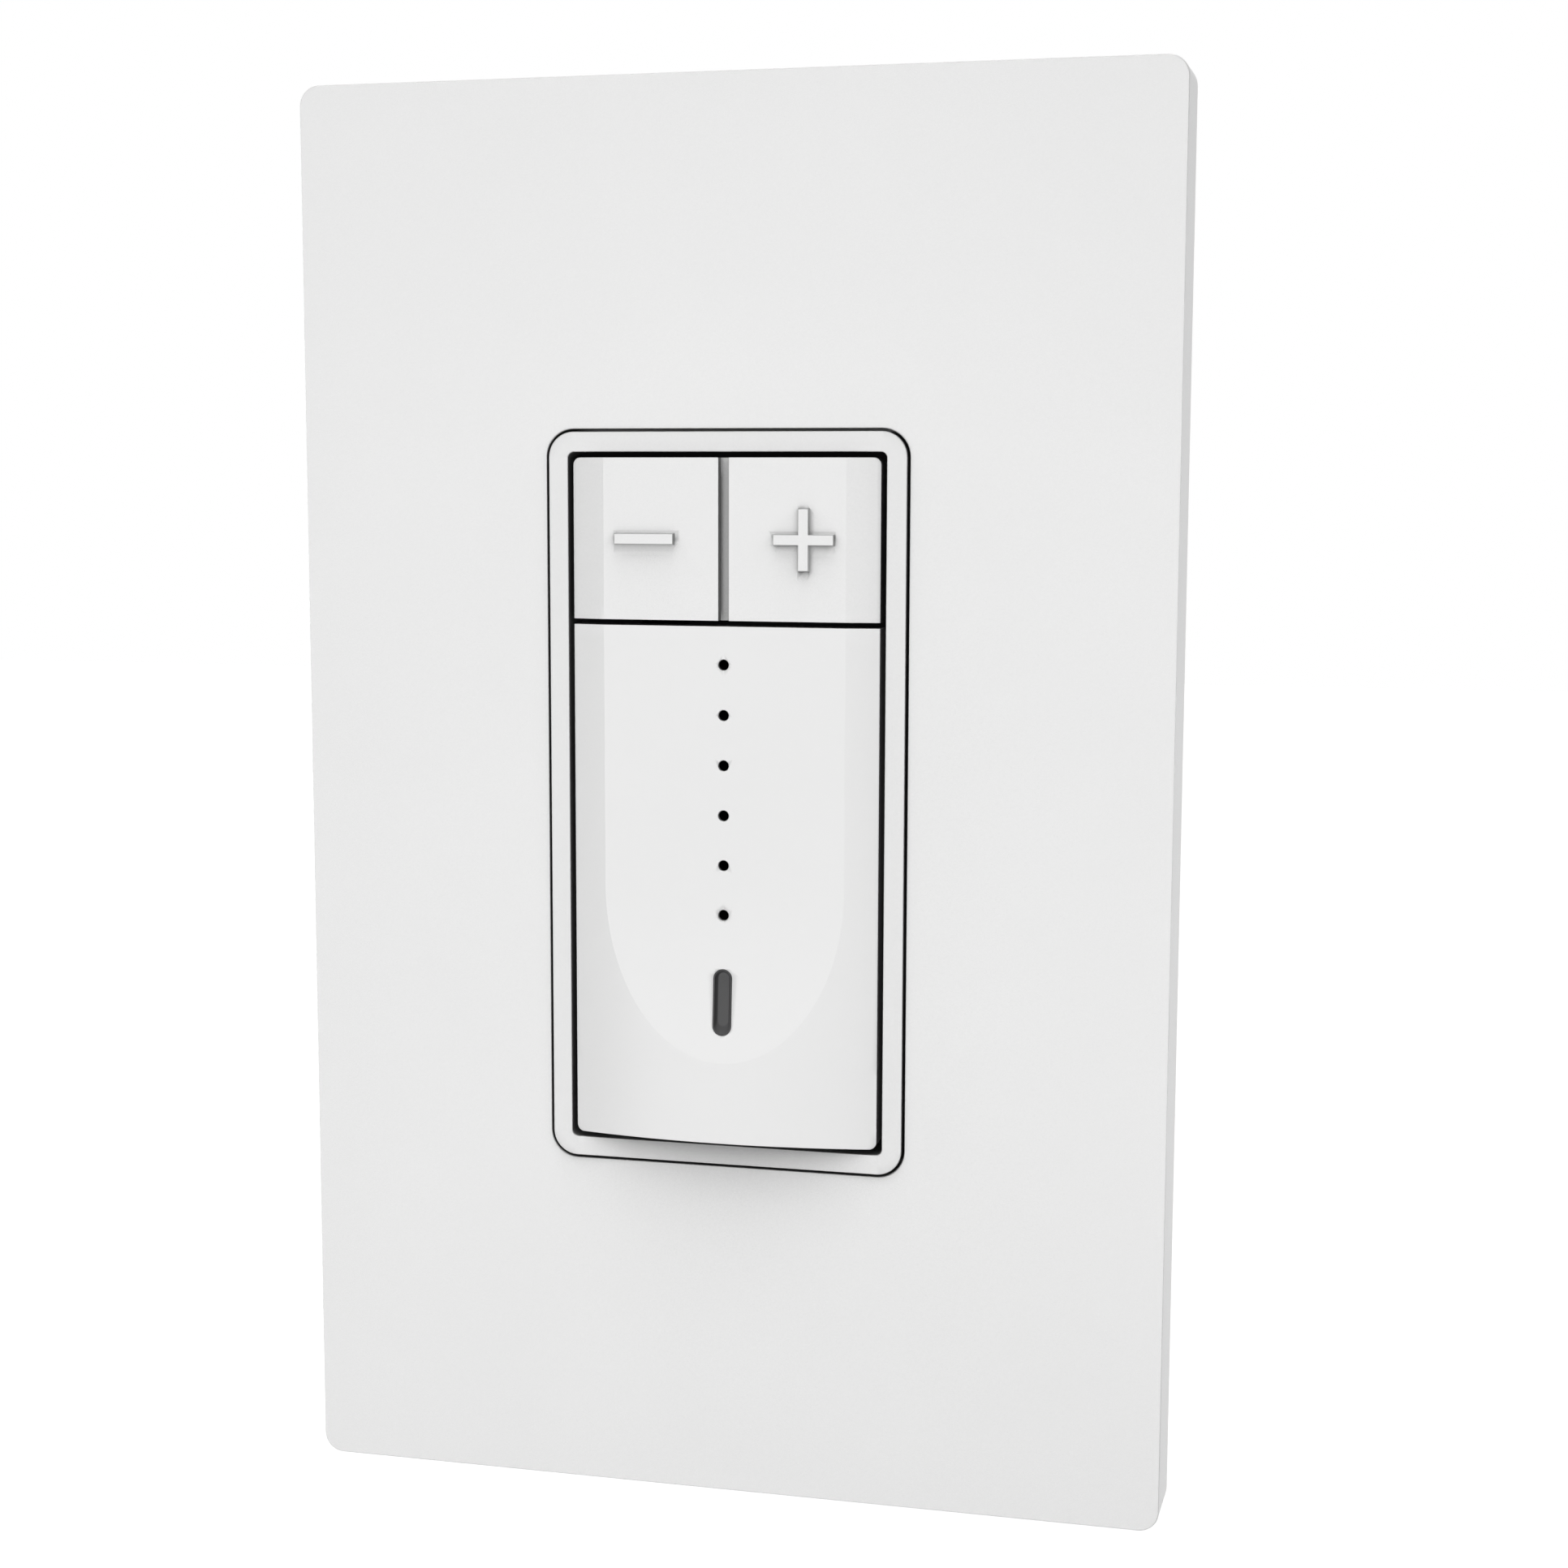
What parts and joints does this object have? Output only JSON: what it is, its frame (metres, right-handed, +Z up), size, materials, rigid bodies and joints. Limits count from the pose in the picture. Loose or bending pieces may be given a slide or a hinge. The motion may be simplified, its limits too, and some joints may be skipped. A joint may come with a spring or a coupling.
{
  "type": "tap dimmer switch",
  "caption": "Wall dimmer in a screwless plate: a scooped tap paddle with level lights hinges at its top edge, and a minus and plus rocker tilts above it.",
  "frame": {"origin": "centre of the device on the wall plane, midway between the two box screws", "axes": "+X to the right seen from the front, +Y into the wall, +Z up; the front faces -Y"},
  "size_m": [0.0804, 0.04, 0.129],
  "materials": {
    "white_plastic": "white moulded thermoplastic, fine satin",
    "black_plastic": "black moulded thermoplastic, fine texture",
    "smoked_lens": "smoked light lens, polished",
    "strap_metal": "rolled aluminium",
    "steel": "zinc plated",
    "green_screw": "green earth screw",
    "dome_rubber": "grey silicone",
    "circuit_board": "green solder resist",
    "led_resin": "clear resin",
    "tinned_copper": "tinned",
    "pad_rubber": "thermal pad",
    "ferrite": "sintered",
    "copper_wire": "enamelled copper",
    "red_resin": "cast resin",
    "blue_sleeve": "shrink sleeve",
    "fuse_ceramic": "ceramic",
    "brass": "plain brass"
  },
  "bodies": {
    "base": {"wall_plate": "white_plastic", "mounting_subplate": "white_plastic", "subplate_screws": "steel", "mounting_strap": "strap_metal", "box_screws": "steel", "ground_screw": "green_screw", "front_frame": "white_plastic", "frame_screws": "steel", "key_carrier": "black_plastic", "paddle_pivot_pins": "steel", "rocker_pivot_pin": "steel", "rocker_domes": "dome_rubber", "paddle_domes": "dome_rubber", "control_board": "circuit_board", "board_screws": "steel", "level_leds": "led_resin", "locator_led": "led_resin", "control_chip": "black_plastic", "board_socket": "black_plastic", "board_header": "black_plastic", "power_board": "circuit_board", "power_board_screws": "steel", "triac_body": "black_plastic", "triac_tab": "tinned_copper", "triac_insulator": "pad_rubber", "triac_screw": "steel", "choke_core": "ferrite", "choke_winding": "copper_wire", "film_capacitor": "red_resin", "supply_capacitor": "blue_sleeve", "thermal_fuse": "fuse_ceramic", "rear_housing": "black_plastic", "terminal_plates": "brass", "pressure_plates": "brass", "terminal_screws": "brass"},
    "paddle": {"tap_paddle": "white_plastic", "indicator_lens": "smoked_lens"},
    "rocker": {"dim_rocker": "white_plastic"}
  },
  "joints": [
    {"name": "paddle_press", "type": "hinge", "parent": "base", "child": "paddle", "pos_m": [0, -0.0041, 0.01338], "axis": [1, 0, 0], "range_deg": [0, 1.4], "stiffness_Nm_per_rad": 1.5, "springref_deg": -1.15, "deforming": ["paddle_domes"]},
    {"name": "rocker_tilt", "type": "hinge", "parent": "base", "child": "rocker", "pos_m": [0, -0.0041, 0.02368], "axis": [0, 0, 1], "range_deg": [-3, 3], "stiffness_Nm_per_rad": 0.3, "deforming": ["rocker_domes"]}
  ]
}
